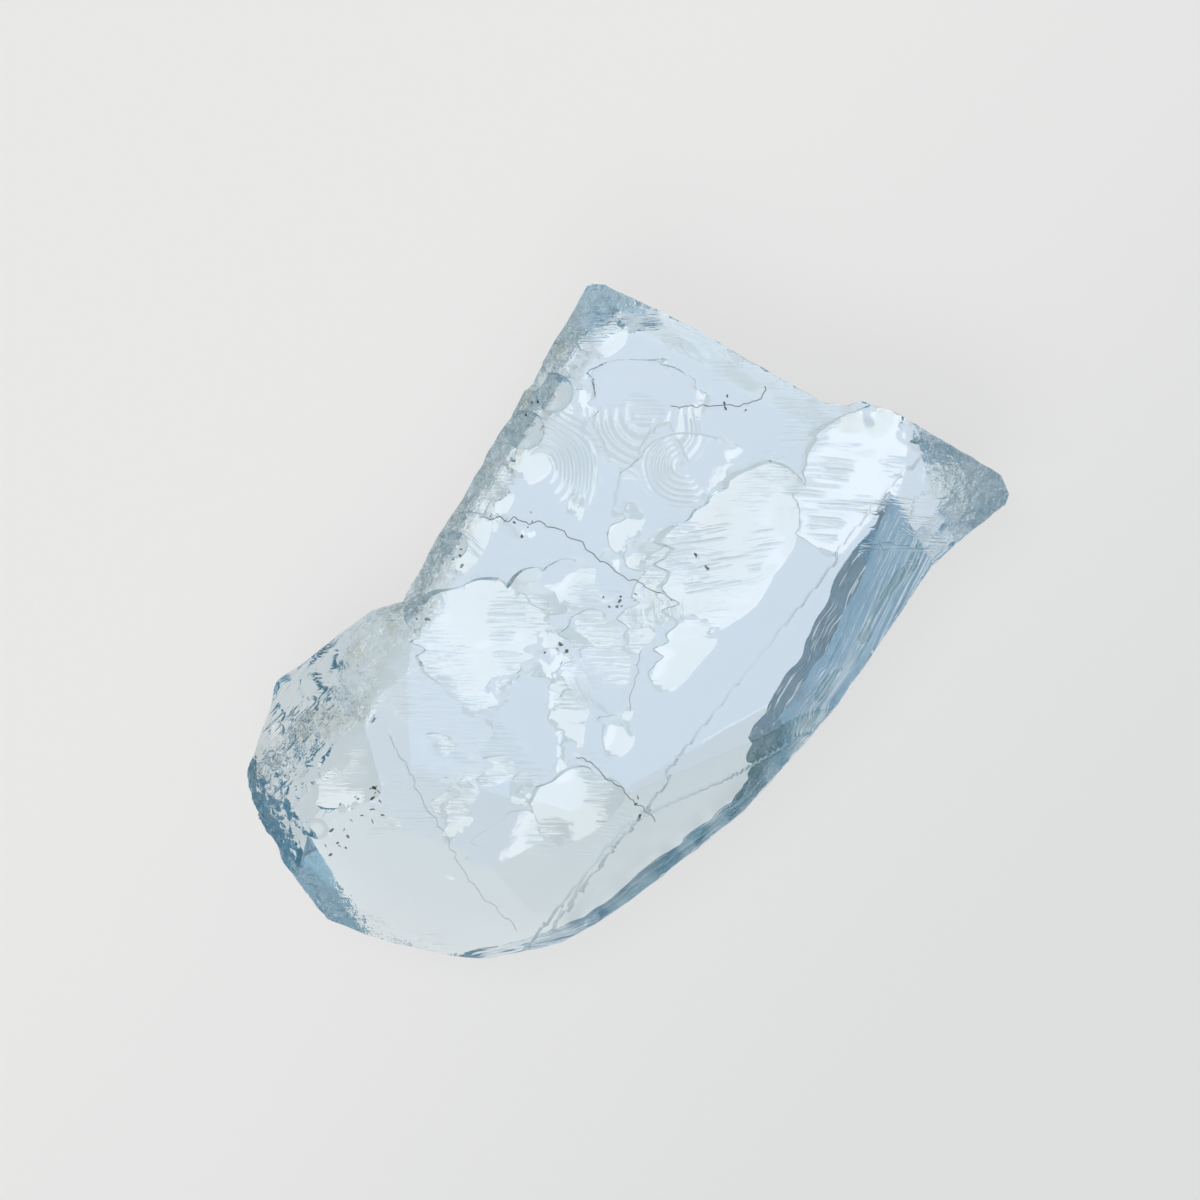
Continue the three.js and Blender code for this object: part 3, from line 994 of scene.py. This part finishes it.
def flat_grains(tree, given):
    """Flat grains at random places round each point."""
    def chance(low, high, seed):
        return tree.add("FunctionNodeRandomValue", {"data_type": "FLOAT_VECTOR"},
                        {0: low, 1: high, "Seed": seed})

    crowd = tree.add("GeometryNodeDuplicateElements", {"domain": "POINT"},
                     {"Geometry": given["Start"], "Amount": SPECKS_EACH})
    reach = np.array(SPECK_REACH) * MM
    crowd = tree.add("GeometryNodeSetPosition", {},
                     {"Geometry": crowd, "Offset": chance(tuple(-reach), tuple(reach), 1)})
    ball = tree.add("GeometryNodeMeshIcoSphere", {}, {"Radius": given["Grain"], "Subdivisions": 1})
    grains = tree.add("GeometryNodeInstanceOnPoints", {}, {
        "Points": crowd, "Instance": ball,
        "Rotation": chance(*SPECK_TURN, 2), "Scale": chance(*SPECK_SHAPE, 3),
    })
    return tree.add("GeometryNodeRealizeInstances", {}, {"Geometry": grains})


# ---- The pieces

stone = mesh_object("aquamarine_crystal", *surface_of(stone_gap, GRID_STEP), aquamarine())
sharp_edges(stone.data)
paint_hackles(stone.data)
paint_ribs(stone.data)
paint_brushing(stone.data)
paint_grime_shade_and_stain(stone.data)
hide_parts("crystal")
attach(stone, "root")

grow("rusty_cracks", crack_places(RUSTY_CRACKS), threads,
     {"Thickness": RUSTY_THREAD, "Waviness": CRACK_WAVINESS}, dull("rust", RUST))
grow("pale_cracks", crack_places(PALE_CRACKS), threads,
     {"Thickness": PALE_THREAD, "Waviness": CRACK_WAVINESS}, dull("ash", ASH))
grow("dark_specks", (front_places(SPECKS, SPECK_DEPTH), []), flat_grains,
     {"Grain": SPECK_RADIUS}, dull("soot", SOOT))


# ---- Stage, light and camera

def floor():
    bpy.ops.mesh.primitive_plane_add(size=FLOOR_SIZE, location=(0, 0, -FLOOR_DROP))
    sheet = bpy.context.object
    sheet.name = "floor"
    sheet.data.materials.append(pale_paper())


def overhead_panel():
    """A square soft light straight above the stone."""
    light = bpy.data.lights.new("overhead_panel", "AREA")
    light.shape = "RECTANGLE"
    light.size = light.size_y = PANEL_SIZE
    light.energy = PANEL_RADIANCE * pi * PANEL_SIZE * PANEL_SIZE
    light.color = PANEL_COLOUR
    lamp = bpy.data.objects.new("overhead_panel", light)
    bpy.context.scene.collection.objects.link(lamp)
    lamp.location = Vector(direction(*PANEL_WAY) * PANEL_DISTANCE)
    lamp.rotation_euler = (-lamp.location).to_track_quat("-Z", "Y").to_euler()


def pale_room():
    """A dim plain room with a small high lamp and a wide soft-edged one to the side."""
    world = bpy.data.worlds.new("pale_room")
    bpy.context.scene.world = world
    tree = Tree(world)
    way = tree.add("ShaderNodeTexCoord", {}, {}, "Generated")

    def lamp(towards, fade, strength):
        start, end = (cos(radians(angle)) for angle in fade)
        return tree.step(tree.towards(way, *towards), start, end) * strength

    dim = tree.add("ShaderNodeBackground", {}, {"Color": (*ROOM, 1), "Strength": ROOM_STRENGTH})
    bright = tree.add("ShaderNodeBackground", {},
                      {"Color": (1, 1, 1, 1), "Strength": lamp(*HIGH_LAMP) + lamp(*SIDE_LAMP)})
    both = tree.add("ShaderNodeAddShader", {}, {0: dim, 1: bright})
    tree.add("ShaderNodeOutputWorld", {}, {"Surface": both})


def camera():
    """The camera looks straight down on the stone."""
    view = bpy.data.cameras.new("camera")
    view.sensor_width = SENSOR
    view.lens = SENSOR * CAMERA_HEIGHT / VIEW_WIDTH
    view.clip_start = NEAREST_VIEW
    eye = bpy.data.objects.new("camera", view)
    bpy.context.scene.collection.objects.link(eye)
    aim = (np.array(CAMERA_AIM) - MIDDLE[:2]) * MM
    eye.location = (*aim, THICKNESS * MM + CAMERA_HEIGHT)
    eye.rotation_euler = (0, 0, radians(CAMERA_ROLL))
    bpy.context.scene.camera = eye


floor()
overhead_panel()
pale_room()
camera()

scene = bpy.context.scene
scene.view_settings.view_transform = "Standard"
scene.cycles.max_bounces = BOUNCES
scene.cycles.transmission_bounces = BOUNCES
scene.cycles.glossy_bounces = BOUNCES
